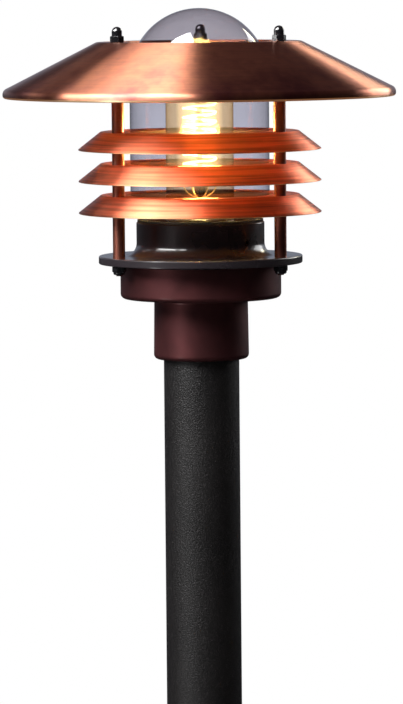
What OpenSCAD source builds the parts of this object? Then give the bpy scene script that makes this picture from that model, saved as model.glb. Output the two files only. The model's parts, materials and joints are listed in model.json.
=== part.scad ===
// Copper post-top garden lantern on a steel pole.
// Millimetres, +Z up. The origin is the centre of the base plate's underside.

/* [Pole] */
// Outside diameter of the pole tube
pole_d = 42.4; // [42.4:0.1:42.8]
// Wall of the pole tube
pole_wall = 2; // [1.5:0.5:3]
// Length of the pole tube above the base plate
pole_length = 751; // [300:1:1200]
// Diameter of the base plate
base_d = 150; // [130:1:200]
// Thickness of the base plate
base_t = 5; // [4:0.5:8]
// Pitch circle of the ground bolts
base_bolt_pcd = 120; // [100:1:122]
// Diameter of each ground bolt hole
base_bolt_d = 9; // [7:0.5:11]
// Bore of the cable grommet
cable_bore_d = 12; // [8:0.5:13]

/* [Housings] */
// Outside diameter of the pole collar's foot
collar_d = 53.4; // [52:0.1:58]
// Length of the pole collar below the lower housing
collar_length = 34.2; // [25:0.1:50]
// Outside diameter of the lower housing
lower_d = 90.2; // [88:0.1:92]
// Height of the lower housing
lower_h = 18.6; // [17:0.1:22]
// Outside diameter of the flange
flange_d = 114.3; // [113:0.1:120]
// Thickness of the flange
flange_t = 4.4; // [3:0.1:5]
// Outside diameter of the cup above the flange
cup_d = 71.8; // [71:0.1:73]
// Height of the cup above the flange
cup_h = 19; // [18:0.1:22]
// Radius of the flare where the cup meets the flange
flare_r = 7; // [4:0.5:7.5]

/* [Louvres] */
// Outside diameter of each louvre's skirt
louvre_d = 136.4; // [125:0.1:150]
// Outside diameter of each louvre's flat top
louvre_top_d = 111.2; // [111.2:0.1:113]
// Drop of each louvre's skirt
louvre_drop = 9.9; // [6:0.1:14]
// Height from one louvre to the next
louvre_pitch = 17.7; // [16:0.1:22]
// Height of the lowest louvre's flat top above the flange
louvre_first = 34.2; // [32:0.1:40]
// Thickness of the louvre sheet
louvre_t = 0.8; // [0.6:0.1:1]

/* [Shade] */
// Diameter over the shade's rim
shade_d = 220; // [200:1:240]
// Diameter of the shade's flat top
shade_top_d = 114.8; // [113:0.1:118]
// Slope of the shade's cone below horizontal
shade_slope = 26.8; // [20:0.1:32]
// Height of the shade's upright rim
shade_rim_h = 4.4; // [4:0.1:8]
// Thickness of the shade sheet
shade_t = 1; // [0.8:0.1:1.2]
// Height of the shade's flat top above the highest louvre
shade_rise = 50; // [45:0.1:55]

/* [Glass] */
// Outside diameter of the glass
glass_d = 78; // [76:0.1:80]
// Wall of the glass
glass_wall = 3; // [2:0.5:4]
// Height of the glass above its gasket
glass_h = 118; // [112:1:125]
// Clearance round the glass at the louvres and the shade
glass_gap = 1.5; // [1:0.1:2]

/* [Bulb] */
// Diameter of the tubular bulb
bulb_d = 38; // [34:1:40]
// Height of the bulb above its cap
bulb_h = 82.6; // [75:0.1:84]
// Diameter of the coiled filament
filament_d = 18; // [14:1:20]
// Turns of the coiled filament
filament_turns = 9; // [6:1:12]

/* [Fasteners] */
// Radius of the circle on which the three tie rods stand
rod_circle_r = 51.8; // [51.5:0.1:51.8]
// Diameter of each tie rod
rod_d = 4; // [4:0.1:4]
// Outside diameter of the spacer tubes on the tie rods
spacer_d = 6.8; // [6:0.1:6.8]
// Width across flats of the nuts
nut_flats = 7; // [7:0.1:7.5]

/* [Hidden] */
$fn = 96;

eps = 0.01;
cut = 1;
running_gap = 0.05;
slide_gap = 0.3;

copper = [0.72, 0.36, 0.24];
dark_copper = [0.42, 0.22, 0.17];
espresso = [0.16, 0.09, 0.08];
black = [0.07, 0.07, 0.08];
rubber = [0.10, 0.10, 0.10];
brass = [0.80, 0.63, 0.30];
zinc = [0.72, 0.73, 0.75];
clear = [0.80, 0.86, 0.90, 0.35];
amber = [0.95, 0.72, 0.35, 0.45];
dark_ceramic = [0.12, 0.10, 0.09];
ivory = [0.93, 0.92, 0.88];

// Heights of the stack, from the ground up
pole_top = base_t + pole_length;
stop_lip = 1.8;
lower_z = pole_top + stop_lip;
collar_z = lower_z - collar_length;
wall = 3;
gasket_t = 1;
flange_z = lower_z + lower_h + gasket_t;
flange_top = flange_z + flange_t;
cup_top = flange_top + cup_h;
glass_gasket_t = 1.2;
glass_z = cup_top + glass_gasket_t;
louvre_z = [for (i = [0:2]) flange_top + louvre_first + i * louvre_pitch];
shade_z = louvre_z[2] + shade_rise;

pole_r = pole_d / 2;
cable_way_r = 18;

// The three tie rods: left front, right front and rear
ROD_LEFT = 210;
ROD_RIGHT = 330;
ROD_REAR = 90;
rod_angles = [ROD_LEFT, ROD_RIGHT, ROD_REAR];
rod_r = rod_d / 2;
rod_end_up = 5;
rod_end_down = 0.6;
lock_nut_h = 4.8;

// Points along an arc, from angle a0 to a1
function arc(cx, cz, r, a0, a1, steps = 12) =
    [for (i = [0:steps]) let (a = a0 + (a1 - a0) * i / steps) [cx + r * cos(a), cz + r * sin(a)]];

function reversed(points) = [for (i = [len(points) - 1:-1:0]) points[i]];

module on_circle(radius, angles) {
    for (a = angles) rotate(a) translate([radius, 0, 0]) children();
}

module tube(outer_r, inner_r, z0, z1) {
    translate([0, 0, z0]) difference() {
        cylinder(r = outer_r, h = z1 - z0);
        translate([0, 0, -cut]) cylinder(r = inner_r, h = z1 - z0 + 2 * cut);
    }
}

// ---- Pole and base ----

grommet_hole_r = 9;
grommet_lip = 2.5;
grommet_lip_h = 2.5;

module base_plate() {
    bolt_angles = [30, 150, 270];
    edge_r = 1;
    weld = 3;
    color(black) difference() {
        union() {
            rotate_extrude() polygon(concat(
                [[0, 0], [base_d / 2, 0]],
                arc(base_d / 2 - edge_r, base_t - edge_r, edge_r, 0, 90, 4),
                [[0, base_t]]));
            // Weld fillet round the foot of the pole
            rotate_extrude() polygon([
                [pole_r, base_t - eps], [pole_r + weld, base_t - eps], [pole_r + weld, base_t],
                [pole_r + 0.35 * weld, base_t + 0.35 * weld], [pole_r, base_t + weld]]);
        }
        translate([0, 0, -cut]) cylinder(r = grommet_hole_r, h = base_t + 2 * cut);
        on_circle(base_bolt_pcd / 2, bolt_angles)
            translate([0, 0, -cut]) cylinder(d = base_bolt_d, h = base_t + 2 * cut);
    }
}

// Rubber bush whose groove grips the edge of the hole in the base plate
module cable_grommet() {
    foot = 0.5;
    color(rubber) rotate_extrude() polygon([
        [cable_bore_d / 2, foot], [grommet_hole_r, foot], [grommet_hole_r, base_t],
        [grommet_hole_r + grommet_lip, base_t], [grommet_hole_r + grommet_lip - 1, base_t + grommet_lip_h],
        [cable_bore_d / 2, base_t + grommet_lip_h]]);
}

module pole() {
    color(black) tube(pole_r, pole_r - pole_wall, base_t, pole_top);
}

// ---- Lower housing, with the collar that slips over the pole ----

clamp_angles = [50, 130];
clamp_z = collar_z + 0.45 * collar_length;
clamp_r = 2.5;
boss_circle_r = 24.5;
boss_angles = [30, 150, 270];
boss_r = 4;
screw_r = 2;
screw_depth = 12;
earth_angle = 200;
earth_circle_r = 31;
earth_boss_h = 5;
floor_z = lower_z + wall;
lower_top = lower_z + lower_h;

module lower_housing() {
    rim_r = 2.8;
    foot_r = 2.8;
    neck_r = 2;
    draft = 0.4;
    neck_x = collar_d / 2 - draft + neck_r;
    outer = concat(
        [[pole_r + slide_gap, collar_z], [collar_d / 2 - foot_r, collar_z]],
        arc(collar_d / 2 - foot_r, collar_z + foot_r, foot_r, -90, 0, 8),
        arc(neck_x, lower_z - neck_r, neck_r, 180, 90, 6),
        arc(lower_d / 2 - rim_r, lower_z + rim_r, rim_r, -90, 0, 10),
        [[lower_d / 2, lower_top]]);
    inner = [
        [lower_d / 2 - wall, lower_top], [lower_d / 2 - wall, floor_z], [cable_way_r, floor_z],
        [cable_way_r, pole_top], [pole_r + slide_gap, pole_top]];
    color(espresso) difference() {
        union() {
            rotate_extrude() polygon(concat(outer, inner));
            on_circle(boss_circle_r, boss_angles)
                translate([0, 0, floor_z - eps]) cylinder(r = boss_r, h = flange_z - floor_z + eps);
            on_circle(earth_circle_r, [earth_angle])
                translate([0, 0, floor_z - eps]) cylinder(r = boss_r, h = earth_boss_h + eps);
        }
        on_circle(boss_circle_r, boss_angles) translate([0, 0, flange_z - screw_depth])
            cylinder(r = screw_r + running_gap, h = 2 * screw_depth);
        on_circle(earth_circle_r, [earth_angle])
            translate([0, 0, floor_z]) cylinder(r = screw_r + running_gap, h = 2 * earth_boss_h);
        for (a = clamp_angles) rotate(a) translate([0, 0, clamp_z]) rotate([0, 90, 0])
            cylinder(r = clamp_r + running_gap, h = collar_d);
    }
}

// Socket set screw along +X, its tip at tip_x
module set_screw(r, tip_x, length) {
    socket_d = 1.1 * r;
    chamfer = 0.25 * r;
    color(black) translate([tip_x, 0, 0]) rotate([0, 90, 0]) difference() {
        union() {
            cylinder(r1 = 0.7 * r, r2 = r, h = chamfer);
            translate([0, 0, chamfer]) cylinder(r = r, h = length - 2 * chamfer);
            translate([0, 0, length - chamfer]) cylinder(r1 = r, r2 = r - chamfer, h = chamfer);
        }
        translate([0, 0, 0.6 * length]) cylinder(d = socket_d, h = length, $fn = 6);
    }
}

module clamp_screw(a) {
    rotate(a) translate([0, 0, clamp_z]) set_screw(clamp_r, pole_r + 2 * running_gap, 6);
}
module clamp_screw_left() { clamp_screw(clamp_angles[1]); }
module clamp_screw_right() { clamp_screw(clamp_angles[0]); }

// Pan-head screw standing at z, head upwards, with a cross recess
module pan_screw(z, shank_length) {
    head_r = 1.75 * screw_r;
    head_h = 2.4;
    slot_w = 0.9;
    slot_depth = 1.2;
    translate([0, 0, z]) difference() {
        union() {
            translate([0, 0, -shank_length]) cylinder(r = screw_r, h = shank_length + eps);
            rotate_extrude() polygon(concat([[0, 0], [head_r, 0]],
                arc(head_r - 1, head_h - 1, 1, 0, 90, 5), [[0, head_h]]));
        }
        for (a = [0, 90]) rotate(a) translate([-screw_r, -slot_w / 2, head_h - slot_depth])
            cube([2 * screw_r, slot_w, 2 * slot_depth]);
    }
}

module earth_screw() {
    color(brass) on_circle(earth_circle_r, [earth_angle])
        pan_screw(floor_z + earth_boss_h, earth_boss_h - 1);
}

// ---- Terminal block and the two leads inside the lower housing ----

terminal = [26, 11, 12];
terminal_y = 27;
terminal_pitch = 8.5;
terminal_screw_r = 1.6;
terminal_screw_h = 5;
terminal_well_z = floor_z + 5;
entry_r = 1.7;
lead_r = 1.1;
lead_x = 4.25;
lead_z = floor_z + 4;
lead_bend = 3.5;
lead_in = 2;

module terminal_block() {
    groove_w = 1;
    color(ivory) difference() {
        translate([-terminal[0] / 2, terminal_y, floor_z]) cube(terminal);
        for (i = [-1:1]) translate([i * terminal_pitch, terminal_y + terminal[1] / 2, terminal_well_z])
            cylinder(r = terminal_screw_r + running_gap, h = terminal[2]);
        // Grooves between the poles
        for (i = [-0.5, 0.5]) translate([i * terminal_pitch - groove_w / 2, terminal_y - cut, floor_z + 7])
            cube([groove_w, terminal[1] + 2 * cut, terminal[2]]);
        for (x = [-lead_x, lead_x]) translate([x, terminal_y + lead_in, lead_z]) rotate([90, 0, 0])
            cylinder(r = entry_r, h = 2 * lead_in);
    }
}

module terminal_screws() {
    slot_w = 0.6;
    color(brass) for (i = [-1:1])
        translate([i * terminal_pitch, terminal_y + terminal[1] / 2, terminal_well_z]) difference() {
            cylinder(r = terminal_screw_r, h = terminal_screw_h);
            translate([-terminal_screw_r, -slot_w / 2, terminal_screw_h - 1])
                cube([2 * terminal_screw_r, slot_w, 2]);
        }
}

// Insulated lead: out of the block, forwards, and up into the lampholder
module lead(x) {
    bend_y = lampholder_entry_y + lead_bend;
    translate([x, 0, lead_z]) {
        translate([0, terminal_y + lead_in, 0]) rotate([90, 0, 0])
            cylinder(r = lead_r, h = terminal_y + lead_in - bend_y, $fn = 32);
        translate([0, bend_y, lead_bend]) rotate([90, 0, 90]) rotate(180)
            rotate_extrude(angle = 90, $fn = 64) translate([lead_bend, 0]) circle(r = lead_r, $fn = 32);
        translate([0, lampholder_entry_y, lead_bend])
            cylinder(r = lead_r, h = holder_base + lead_in / 2 - lead_z - lead_bend, $fn = 32);
    }
}
module lead_live() { color([0.45, 0.25, 0.15]) lead(-lead_x); }
module lead_neutral() { color([0.15, 0.30, 0.62]) lead(lead_x); }

module housing_gasket() {
    color(rubber) tube(lower_d / 2 - 0.8, lower_d / 2 - wall + 0.2, lower_top, flange_z);
}

// ---- Upper housing: cup, flare and flange in one casting ----

glass_neck_gap = 0.3;
glass_neck_r = 31.7;
cup_bore_r = glass_neck_r + glass_neck_gap;
shelf_r = 17.5;
lock_angle = -43;
lock_z = flange_top + flare_r + 1.2;
lock_r = 2;

module upper_housing() {
    edge_r = 0.7;
    lip_r = 0.8;
    color(espresso) difference() {
        rotate_extrude() polygon(concat(
            [[shelf_r, flange_z]],
            arc(flange_d / 2 - edge_r, flange_z + edge_r, edge_r, -90, 0, 4),
            arc(flange_d / 2 - edge_r, flange_top - edge_r, edge_r, 0, 90, 4),
            arc(cup_d / 2 + flare_r, flange_top + flare_r, flare_r, -90, -180, 14),
            arc(cup_d / 2 - lip_r, cup_top - lip_r, lip_r, 0, 90, 4),
            [[cup_bore_r, cup_top], [cup_bore_r, flange_top], [shelf_r, flange_top]]));
        on_circle(rod_circle_r, rod_angles)
            translate([0, 0, flange_z - cut]) cylinder(r = rod_r + running_gap, h = flange_t + 2 * cut);
        on_circle(boss_circle_r, boss_angles)
            translate([0, 0, flange_z - cut]) cylinder(r = screw_r + 0.2, h = flange_t + 2 * cut);
        rotate(lock_angle) translate([0, 0, lock_z]) rotate([0, 90, 0])
            cylinder(r = lock_r + running_gap, h = cup_d);
    }
}

module housing_screws() {
    color(zinc) on_circle(boss_circle_r, boss_angles)
        pan_screw(flange_top + bracket_t, flange_t + bracket_t + screw_depth - 1);
}

module glass_lock_screw() {
    length = cup_d / 2 - glass_neck_r;
    rotate(lock_angle) translate([0, 0, lock_z])
        set_screw(lock_r, glass_neck_r + 2 * running_gap, length);
}

module glass_gasket() {
    color(rubber) tube(cup_d / 2 - 0.6, cup_bore_r + 0.2, cup_top, glass_z);
}

// ---- Lampholder ----

bracket_t = 1.5;
bracket_r = 30;
holder_r = 19.5;
holder_foot_r = 16;
holder_z = flange_top + bracket_t;
holder_top = cup_top + 2;
holder_base = flange_z - 7;
holder_floor = flange_z - 3;
shell_outer_r = 14.55;
shell_wall = 0.6;
socket_r = shell_outer_r + running_gap;
lampholder_entry_y = 7;

module lampholder_bracket() {
    notch_r = 4;
    color(zinc) difference() {
        tube(bracket_r, holder_foot_r + 0.2, flange_top, flange_top + bracket_t);
        on_circle(boss_circle_r, boss_angles)
            translate([0, 0, flange_top - cut]) cylinder(r = screw_r + 0.2, h = bracket_t + 2 * cut);
        // Notches that let air move past the bracket
        on_circle(bracket_r, rod_angles)
            translate([0, 0, flange_top - cut]) cylinder(r = notch_r, h = bracket_t + 2 * cut);
    }
}

module lampholder() {
    edge_r = 1.5;
    color(dark_ceramic) difference() {
        rotate_extrude() polygon(concat(
            [[0, holder_base], [holder_foot_r, holder_base], [holder_foot_r, holder_z], [holder_r, holder_z]],
            arc(holder_r - edge_r, holder_top - edge_r, edge_r, 0, 90, 6),
            [[socket_r, holder_top], [socket_r, holder_floor], [0, holder_floor]]));
        for (x = [-lead_x, lead_x]) translate([x, lampholder_entry_y, holder_base - cut])
            cylinder(r = lead_r + 0.2, h = cut + lead_in / 2);
    }
}

module lampholder_shell() {
    color(brass) tube(shell_outer_r, shell_outer_r - shell_wall, holder_floor + 3, holder_top - 1);
}

// Sprung tongue under the bulb's tip
module lampholder_contact() {
    width = 6;
    thick = 0.6;
    bend_x = 3;
    foot = 6;
    tongue = 7;
    rise = bulb_tip_z - holder_floor;
    color(brass) translate([bend_x, -width / 2, holder_floor]) {
        cube([foot, width, thick]);
        cube([thick, width, rise]);
        translate([-tongue, 0, rise - thick]) cube([tongue + thick, width, thick]);
    }
}

// ---- Bulb ----

cap_h = 22.4;
cap_top = glass_z + 2.4;
cap_bottom = cap_top - cap_h;
cap_r = 13.2;
cap_wall = 0.4;
bulb_tip_z = cap_bottom - 4.6;
bulb_wall = 0.8;
bulb_r = bulb_d / 2;
bulb_mouth_r = 12.2;
shoulder_h = 8;
bulb_dome_z = cap_top + bulb_h - bulb_r;
thread_pitch = 3.6;
thread_depth = 0.8;
thread_turns = 5;
thread_steps = 8;
stem_r = 3;
stem_top = bulb_dome_z + 8;
filament_r = filament_d / 2;
filament_wire_r = 0.5;
filament_z = cap_top + 21;
filament_h = bulb_dome_z + 4 - filament_z;

// S-shaped shoulder from the cap's mouth out to the full width
function shoulder(r_out, steps = 12) =
    [for (i = [0:steps]) let (u = i / steps)
        [bulb_mouth_r - bulb_wall + r_out + (bulb_r - bulb_mouth_r) * (1 - cos(180 * u)) / 2,
         cap_top + shoulder_h * u]];

module bulb_glass() {
    foot = cap_top - 3;
    outer = concat([[bulb_mouth_r, foot]], shoulder(bulb_wall), arc(0, bulb_dome_z, bulb_r, 0, 90, 24));
    inner = concat([[bulb_mouth_r - bulb_wall, foot]], shoulder(0),
        arc(0, bulb_dome_z, bulb_r - bulb_wall, 0, 90, 24));
    color(amber) rotate_extrude() polygon(concat(outer, reversed(inner)));
}

// Rounded rings stand in for the screw thread
module bulb_cap() {
    steps = thread_turns * thread_steps;
    ridge = [for (i = [0:steps]) let (turns = i / thread_steps)
        [cap_r - thread_depth * (1 + cos(360 * turns)) / 2, cap_bottom + 0.8 + thread_pitch * turns]];
    foot_r = cap_r - thread_depth;
    outer = concat([[foot_r - 0.6, cap_bottom]], ridge,
        [[foot_r + 0.5, cap_top - 1], [foot_r + 0.5, cap_top]]);
    inner = [[bulb_mouth_r + running_gap, cap_top], [bulb_mouth_r + running_gap, cap_top - 3.1],
             [foot_r - 0.6 - cap_wall, cap_bottom + 1], [foot_r - 0.6 - cap_wall, cap_bottom]];
    color(zinc) rotate_extrude() polygon(concat(outer, inner));
}

module bulb_insulator() {
    top_r = cap_r - thread_depth - 0.6;
    color([0.10, 0.09, 0.10]) rotate_extrude() polygon([
        [0, bulb_tip_z + 1], [4, bulb_tip_z + 1], [5, bulb_tip_z + 1.6],
        [top_r, cap_bottom], [0, cap_bottom]]);
}

module bulb_contact() {
    color(zinc) rotate_extrude() polygon([
        [0, bulb_tip_z], [2.4, bulb_tip_z], [4, bulb_tip_z + 0.6], [4, bulb_tip_z + 1], [0, bulb_tip_z + 1]]);
}

// Glass foot, rod and button that carry the filament
module bulb_stem() {
    foot_z = cap_top - 2;
    pinch_z = cap_top + 21;
    rod = 1.3;
    color(clear) rotate_extrude() polygon(concat(
        [[0, foot_z], [bulb_mouth_r - bulb_wall - 0.3, foot_z], [stem_r + 3, foot_z + 2.5],
         [stem_r, foot_z + 7], [stem_r, pinch_z], [rod, pinch_z + 3], [rod, stem_top - 2]],
        arc(0, stem_top, 2, -45, 90, 8)));
}

// Wire arms that reach from the stem to the filament's first and last turns
module bulb_supports() {
    wire_r = 0.3;
    arms = 6;
    root_r = stem_r - 0.6;
    root_z = cap_top + 9.5;
    reach = filament_r - root_r;
    rise = filament_z + 0.2 - root_z;
    high_lean = 106;
    color(zinc) for (i = [0:arms - 1]) rotate(360 * i / arms) {
        translate([root_r, 0, root_z]) rotate([0, atan2(reach, rise), 0])
            cylinder(r = wire_r, h = norm([reach, rise]), $fn = 16);
        translate([1.2, 0, stem_top - 1]) rotate([0, high_lean, 0])
            cylinder(r = wire_r, h = filament_r - 0.8, $fn = 16);
    }
}

// Long coiled filament: a round wire swept along a helix
module bulb_filament() {
    sides = 6;
    per_turn = 18;
    rings = filament_turns * per_turn;
    lead_angle = atan(filament_h / filament_turns / (2 * PI * filament_r));
    points = [for (i = [0:rings]) let (a = 360 * i / per_turn, z = filament_z + filament_h * i / rings)
        for (j = [0:sides - 1])
            let (b = 360 * j / sides, u = filament_wire_r * cos(b), v = filament_wire_r * sin(b))
            [(filament_r + u) * cos(a) + v * sin(lead_angle) * sin(a),
             (filament_r + u) * sin(a) - v * sin(lead_angle) * cos(a),
             z + v * cos(lead_angle)]];
    walls = [for (i = [0:rings - 1], j = [0:sides - 1]) let (k = (j + 1) % sides)
        [i * sides + j, i * sides + k, (i + 1) * sides + k, (i + 1) * sides + j]];
    ends = [[for (j = [sides - 1:-1:0]) j], [for (j = [0:sides - 1]) rings * sides + j]];
    color("gold") polyhedron(points, concat(walls, ends), convexity = 20);
}

// ---- Tie rods, nuts, spacers ----

module tie_rod(a) {
    z0 = flange_z - lock_nut_h - rod_end_down;
    color(dark_copper) on_circle(rod_circle_r, [a])
        translate([0, 0, z0]) cylinder(r = rod_r, h = shade_z + rod_end_up - z0);
}
module tie_rod_left() { tie_rod(ROD_LEFT); }
module tie_rod_right() { tie_rod(ROD_RIGHT); }
module tie_rod_rear() { tie_rod(ROD_REAR); }

// Hexagon with its outer corners turned off at the given ends
module hexagon(h, chamfer_low, chamfer_high) {
    corner_r = nut_flats / 2 / cos(30);
    c = corner_r - 0.98 * nut_flats / 2;
    low = chamfer_low ? c * tan(30) : 0;
    high = chamfer_high ? c * tan(30) : 0;
    intersection() {
        cylinder(r = corner_r, h = h, $fn = 6);
        rotate_extrude() polygon([
            [0, 0], [corner_r + eps - (chamfer_low ? c : 0), 0], [corner_r + eps, low],
            [corner_r + eps, h - high], [corner_r + eps - (chamfer_high ? c : 0), h], [0, h]]);
    }
}

// Lock nuts: a hexagon against the flange, and a rounded collar that holds the locking ring
module flange_nuts() {
    turn = 15;
    hex_h = 3.2;
    round_r = 1.1;
    collar_r = nut_flats / 2 - 0.2;
    color(black) on_circle(rod_circle_r, rod_angles) translate([0, 0, flange_z - lock_nut_h]) difference() {
        union() {
            translate([0, 0, lock_nut_h - hex_h]) rotate(turn) hexagon(hex_h, true, false);
            rotate_extrude() polygon(concat([[0, 0]],
                arc(collar_r - round_r, round_r, round_r, -90, 0, 6),
                [[collar_r, lock_nut_h - hex_h + eps], [0, lock_nut_h - hex_h + eps]]));
        }
        translate([0, 0, -cut]) cylinder(r = rod_r + running_gap, h = lock_nut_h + 2 * cut);
    }
}

// One spacer tube on each tie rod, from z0 to z1
module spacer_set(z0, z1) {
    color(dark_copper) on_circle(rod_circle_r, rod_angles)
        tube(spacer_d / 2, rod_r + 0.15, z0, z1);
}
module spacers_flange() { spacer_set(flange_top, louvre_z[0] - louvre_t); }
module spacers_lower() { spacer_set(louvre_z[0], louvre_z[1] - louvre_t); }
module spacers_upper() { spacer_set(louvre_z[1], louvre_z[2] - louvre_t); }
module spacers_shade() { spacer_set(louvre_z[2], shade_z - shade_t); }

// Cap nut with its domed head; the thread's bore is blind
module cap_nut(a, turn) {
    hex_h = 3.7;
    dome_r = 2.9;
    dome_z = 6;
    color(black) on_circle(rod_circle_r, [a]) translate([0, 0, shade_z]) difference() {
        union() {
            rotate(turn) hexagon(hex_h, false, true);
            rotate_extrude() polygon(concat([[0, hex_h - eps], [dome_r, hex_h - eps]],
                arc(0, dome_z, dome_r, 0, 90, 12)));
        }
        translate([0, 0, -cut]) cylinder(r = rod_r + running_gap, h = rod_end_up + 0.6 + cut);
    }
}
module cap_nut_left() { cap_nut(ROD_LEFT, 17); }
module cap_nut_right() { cap_nut(ROD_RIGHT, -15); }
module cap_nut_rear() { cap_nut(ROD_REAR, 12); }

// ---- Louvres ----

// Spun ring: a flat top that the rods pass through, and a sloping skirt
module louvre(z) {
    bend_r = 1.2;
    slope = atan(louvre_drop / ((louvre_d - louvre_top_d) / 2));
    bend_x = louvre_top_d / 2 - bend_r * tan(slope / 2);
    tip_x = louvre_d / 2;
    tip_z = z - louvre_drop;
    normal = [sin(slope), cos(slope)];
    bore_r = glass_r + glass_gap + 1;
    color(copper) difference() {
        rotate_extrude() polygon(concat(
            [[bore_r, z]],
            arc(bend_x, z - bend_r, bend_r, 90, 90 - slope, 5),
            [[tip_x, tip_z], [tip_x - louvre_t * normal[0], tip_z - louvre_t * normal[1]]],
            arc(bend_x, z - bend_r, bend_r - louvre_t, 90 - slope, 90, 5),
            [[bore_r, z - louvre_t]]));
        on_circle(rod_circle_r, rod_angles)
            translate([0, 0, z - 2 * cut]) cylinder(r = rod_r + 0.1, h = 3 * cut);
    }
}
module louvre_bottom() { louvre(louvre_z[0]); }
module louvre_middle() { louvre(louvre_z[1]); }
module louvre_top() { louvre(louvre_z[2]); }

// ---- Glass: one jar in three simple solids, neck with shoulder, tube, and dome ----

glass_r = glass_d / 2;
glass_corner_r = 4.5;
glass_tube_z = glass_z + glass_corner_r;
glass_dome_z = glass_z + glass_h - glass_r;

module glass_neck() {
    neck_z = glass_z - 17;
    neck_inner_r = glass_neck_r - glass_wall;
    corner_x = glass_r - glass_corner_r;
    outer = concat([[glass_neck_r, neck_z], [glass_neck_r, glass_z]],
        arc(corner_x, glass_tube_z, glass_corner_r, -90, 0, 8));
    inner = concat([[neck_inner_r, neck_z], [neck_inner_r, glass_z + glass_wall]],
        arc(corner_x, glass_tube_z, glass_corner_r - glass_wall, -90, 0, 6));
    color(clear) rotate_extrude() polygon(concat(outer, reversed(inner)));
}

module glass_tube() {
    color(clear) tube(glass_r, glass_r - glass_wall, glass_tube_z, glass_dome_z);
}

module glass_dome() {
    outer = arc(0, glass_dome_z, glass_r, 0, 90, 32);
    inner = arc(0, glass_dome_z, glass_r - glass_wall, 0, 90, 32);
    color(clear) rotate_extrude() polygon(concat(outer, reversed(inner)));
}

// ---- Shade: flat top, cone, upright rim and turned-in hem ----

module shade() {
    top_bend = 2.5;
    rim_bend = 2.4;
    hem_bend = 1.6;
    hem = 1.2;
    r = shade_d / 2;
    top_r = shade_top_d / 2;
    bore_r = glass_r + glass_gap;
    top_x = top_r - top_bend * tan(shade_slope / 2);
    corner_z = shade_z - (r - top_r) * tan(shade_slope);
    rim_z = corner_z - shade_rim_h;
    rim_bend_z = corner_z - rim_bend * tan((90 - shade_slope) / 2);
    outer = concat(
        [[bore_r, shade_z]],
        arc(top_x, shade_z - top_bend, top_bend, 90, 90 - shade_slope, 5),
        arc(r - rim_bend, rim_bend_z, rim_bend, 90 - shade_slope, 0, 10),
        arc(r - hem_bend, rim_z + hem_bend, hem_bend, 0, -90, 8),
        [[r - hem_bend - hem, rim_z]]);
    inner = concat(
        [[bore_r, shade_z - shade_t]],
        arc(top_x, shade_z - top_bend, top_bend - shade_t, 90, 90 - shade_slope, 5),
        arc(r - rim_bend, rim_bend_z, rim_bend - shade_t, 90 - shade_slope, 0, 10),
        arc(r - hem_bend, rim_z + hem_bend, hem_bend - shade_t, 0, -90, 6),
        [[r - hem_bend - hem, rim_z + shade_t]]);
    color(copper) difference() {
        rotate_extrude($fn = 160) polygon(concat(outer, reversed(inner)));
        on_circle(rod_circle_r, rod_angles)
            translate([0, 0, shade_z - 2 * cut]) cylinder(r = rod_r + slide_gap, h = 3 * cut);
    }
}

base_plate();
cable_grommet();
pole();
lower_housing();
clamp_screw_left();
clamp_screw_right();
earth_screw();
terminal_block();
terminal_screws();
lead_live();
lead_neutral();
housing_gasket();
upper_housing();
housing_screws();
glass_lock_screw();
glass_gasket();
lampholder_bracket();
lampholder();
lampholder_shell();
lampholder_contact();
bulb_glass();
bulb_cap();
bulb_insulator();
bulb_contact();
bulb_stem();
bulb_supports();
bulb_filament();
tie_rod_left();
tie_rod_right();
tie_rod_rear();
flange_nuts();
spacers_flange();
louvre_bottom();
spacers_lower();
louvre_middle();
spacers_upper();
louvre_top();
spacers_shade();
glass_neck();
glass_tube();
glass_dome();
shade();
cap_nut_left();
cap_nut_right();
cap_nut_rear();
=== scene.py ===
"""Looks of a copper post-top garden lantern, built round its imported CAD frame. Metres, +Z up."""
import json
import math

import bmesh
import bpy
from mathutils import Matrix, Vector

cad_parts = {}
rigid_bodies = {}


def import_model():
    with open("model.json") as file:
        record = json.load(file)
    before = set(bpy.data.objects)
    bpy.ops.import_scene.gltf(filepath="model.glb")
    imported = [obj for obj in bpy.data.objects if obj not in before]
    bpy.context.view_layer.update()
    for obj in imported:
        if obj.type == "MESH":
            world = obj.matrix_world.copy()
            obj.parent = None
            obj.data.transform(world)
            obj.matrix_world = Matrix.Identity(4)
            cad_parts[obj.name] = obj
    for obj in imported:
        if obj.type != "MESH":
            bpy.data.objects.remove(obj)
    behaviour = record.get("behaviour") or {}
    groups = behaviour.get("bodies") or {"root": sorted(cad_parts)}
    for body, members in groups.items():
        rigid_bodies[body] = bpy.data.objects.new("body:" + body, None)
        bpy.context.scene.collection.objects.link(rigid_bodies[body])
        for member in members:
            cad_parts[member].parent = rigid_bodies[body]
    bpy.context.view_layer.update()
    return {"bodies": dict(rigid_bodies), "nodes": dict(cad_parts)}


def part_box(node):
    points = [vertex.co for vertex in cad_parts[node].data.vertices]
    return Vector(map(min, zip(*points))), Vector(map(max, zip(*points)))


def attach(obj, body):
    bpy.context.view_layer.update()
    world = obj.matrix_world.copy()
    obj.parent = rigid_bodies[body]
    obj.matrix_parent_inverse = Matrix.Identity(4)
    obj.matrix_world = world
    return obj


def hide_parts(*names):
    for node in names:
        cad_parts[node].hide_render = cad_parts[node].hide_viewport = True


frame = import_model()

MM = 0.001
TURN = 2 * math.pi


# ---------------------------------------------------------------- sizes from the frame

def span(node):
    """A round node's largest radius about the pole's axis, its lowest height and its highest."""
    low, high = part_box(node)
    return max(high.x, high.y), low.z, high.z


def centre_of(node):
    low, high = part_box(node)
    return (low + high) / 2


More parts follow.
